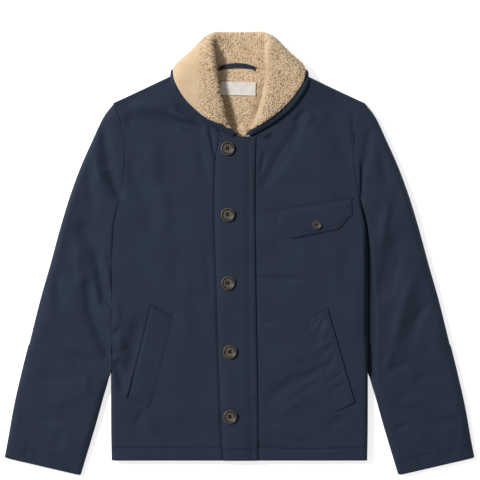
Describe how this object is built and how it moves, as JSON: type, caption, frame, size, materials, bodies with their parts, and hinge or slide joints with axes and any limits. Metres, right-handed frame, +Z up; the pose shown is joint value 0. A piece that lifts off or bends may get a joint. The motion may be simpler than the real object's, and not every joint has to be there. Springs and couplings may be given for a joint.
{
  "type": "deck jacket",
  "caption": "Deck jacket laid flat and buttoned, with a turned-out pile collar, a front placket, a chest pocket flap and slanted hand pocket welts.",
  "frame": {"origin": "middle of the outline, on the surface that the jacket lies on", "axes": "+X towards the sleeve beside the chest pocket, +Y towards the collar, +Z up out of the front"},
  "size_m": [0.8232, 0.7768, 0.0485],
  "materials": {
    "shell": "matte cotton twill, navy",
    "pile": "curly wool-like pile, beige",
    "button": "satin horn-like resin, dark brown",
    "label": "plain woven label, off-white, blank"
  },
  "bodies": {
    "root": {"back_panel": "shell", "front_right": "shell", "front_left": "shell", "sleeve_right": "shell", "sleeve_left": "shell", "collar_shell": "shell", "collar_pile": "pile", "back_lining": "pile", "placket": "shell", "pocket_flap": "shell", "welt_right": "shell", "welt_left": "shell", "button_1": "button", "button_2": "button", "button_3": "button", "button_4": "button", "button_5": "button", "pocket_button": "button", "hanger_loop": "shell", "neck_label": "label"}
  },
  "joints": []
}
